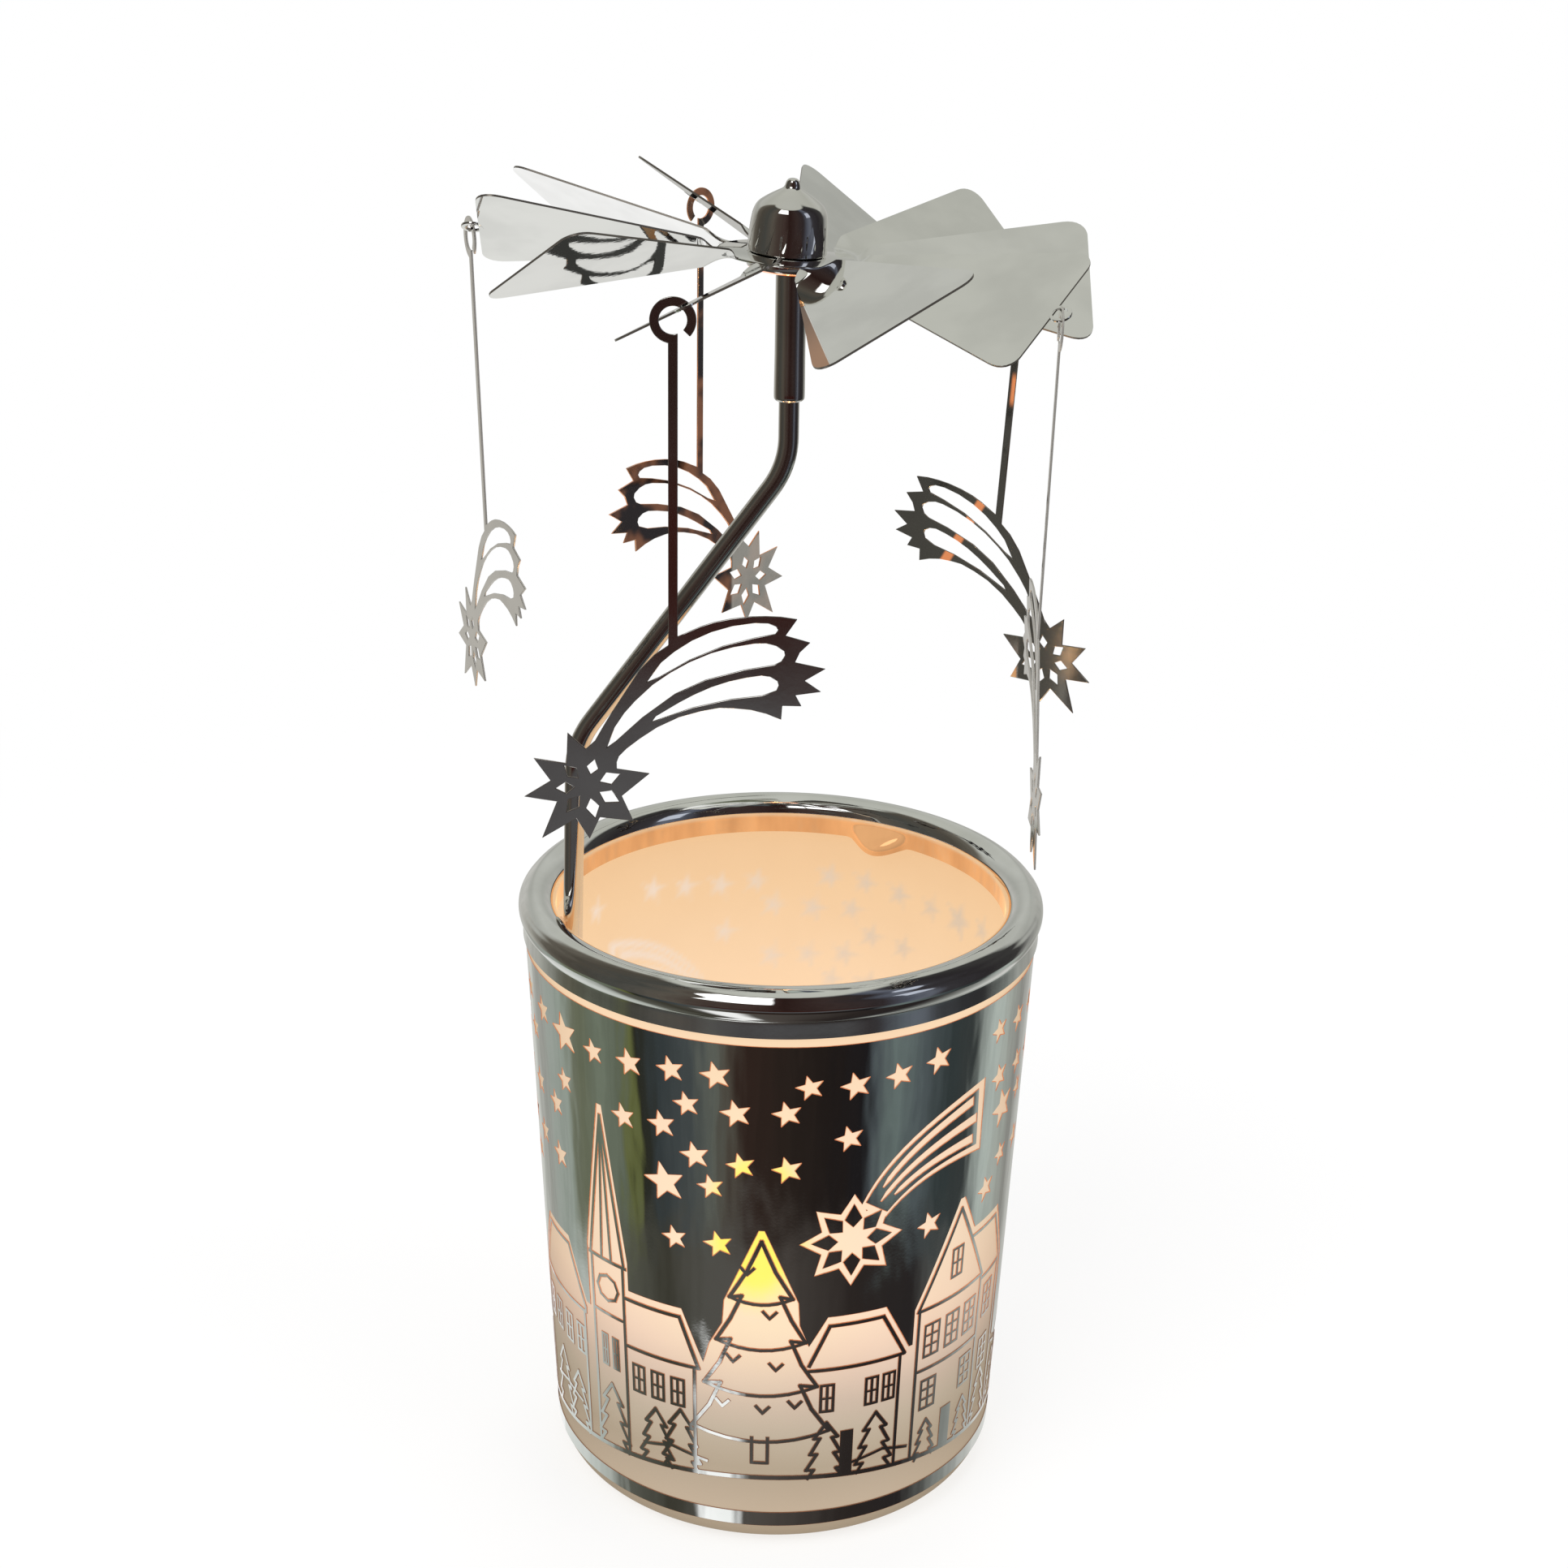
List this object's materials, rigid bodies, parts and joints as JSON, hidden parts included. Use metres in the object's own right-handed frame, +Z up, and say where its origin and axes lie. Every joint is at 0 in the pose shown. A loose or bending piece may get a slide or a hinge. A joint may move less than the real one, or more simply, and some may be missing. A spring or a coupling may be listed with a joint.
{
  "type": "rotating candle lantern",
  "caption": "Frosted glass candle jar with a mirrored winter scene, a metal rim ring and bent rod, and a heat-driven pinwheel rotor that carries hanging comet charms.",
  "frame": {"origin": "centre of the flat underside of the jar, on the jar's axis", "axes": "+Z up along the jar's axis and the rotor's spin axis; +X to the right of the jar's front (-Y) face"},
  "size_m": [0.0836, 0.0866, 0.171],
  "materials": {
    "frosted_glass": "etched frosted, warm white",
    "mirror_film": "vacuum-coated mirror silver",
    "bright_chrome": "bright nickel-chrome plate",
    "polished_steel": "polished dark nickel on steel",
    "candle_cup": "thin rolled aluminium",
    "wax": "translucent paraffin wax",
    "wick_cord": "charred braided cotton"
  },
  "bodies": {
    "jar": {"jar_glass": "frosted_glass", "mirror_film_upper": "mirror_film", "mirror_film_band": "mirror_film"},
    "candle": {"tealight_cup": "candle_cup", "tealight_wax": "wax", "wick_tab": "candle_cup", "wick": "wick_cord"},
    "lid": {"rim_ring": "bright_chrome", "support_rod": "polished_steel", "rod_sleeve": "polished_steel", "pivot_needle": "polished_steel"},
    "rotor": {"rotor_blades": "bright_chrome", "hub_cap": "bright_chrome", "hub_collar": "bright_chrome"},
    "charm_1": {"comet_charm_1": "polished_steel"},
    "charm_2": {"comet_charm_2": "polished_steel"},
    "charm_3": {"comet_charm_3": "polished_steel"},
    "charm_4": {"comet_charm_4": "polished_steel"},
    "charm_5": {"comet_charm_5": "polished_steel"}
  },
  "joints": [
    {"name": "lid_lift", "type": "slide", "parent": "jar", "child": "lid", "axis": [0, 0, 1], "range_m": [0, 0.03]},
    {"name": "candle_lift", "type": "slide", "parent": "jar", "child": "candle", "axis": [0, 0, 1], "range_m": [0, 0.07]},
    {"name": "rotor_spin", "type": "hinge", "parent": "lid", "child": "rotor", "pos_m": [0, 0, 0.17], "axis": [0, 0, 1], "continuous": true},
    {"name": "charm_1_swing", "type": "hinge", "parent": "rotor", "child": "charm_1", "pos_m": [-0.03806, 0.00031, 0.16357], "axis": [0.9265, 0.3754, 0.0246], "range_deg": [-20, 20]},
    {"name": "charm_2_swing", "type": "hinge", "parent": "rotor", "child": "charm_2", "pos_m": [-0.01209, 0.03609, 0.16248], "axis": [0.7284, -0.6852, 0], "range_deg": [-20, 20]},
    {"name": "charm_3_swing", "type": "hinge", "parent": "rotor", "child": "charm_3", "pos_m": [-0.01238, -0.03553, 0.16086], "axis": [-0.048, 0.9988, 0], "range_deg": [-20, 20]},
    {"name": "charm_4_swing", "type": "hinge", "parent": "rotor", "child": "charm_4", "pos_m": [0.02972, 0.02214, 0.15895], "axis": [-0.62, -0.7837, -0.0386], "range_deg": [-20, 20]},
    {"name": "charm_5_swing", "type": "hinge", "parent": "rotor", "child": "charm_5", "pos_m": [0.02994, -0.02209, 0.15805], "axis": [-0.9998, 0.0043, 0.0174], "range_deg": [-20, 20]}
  ]
}
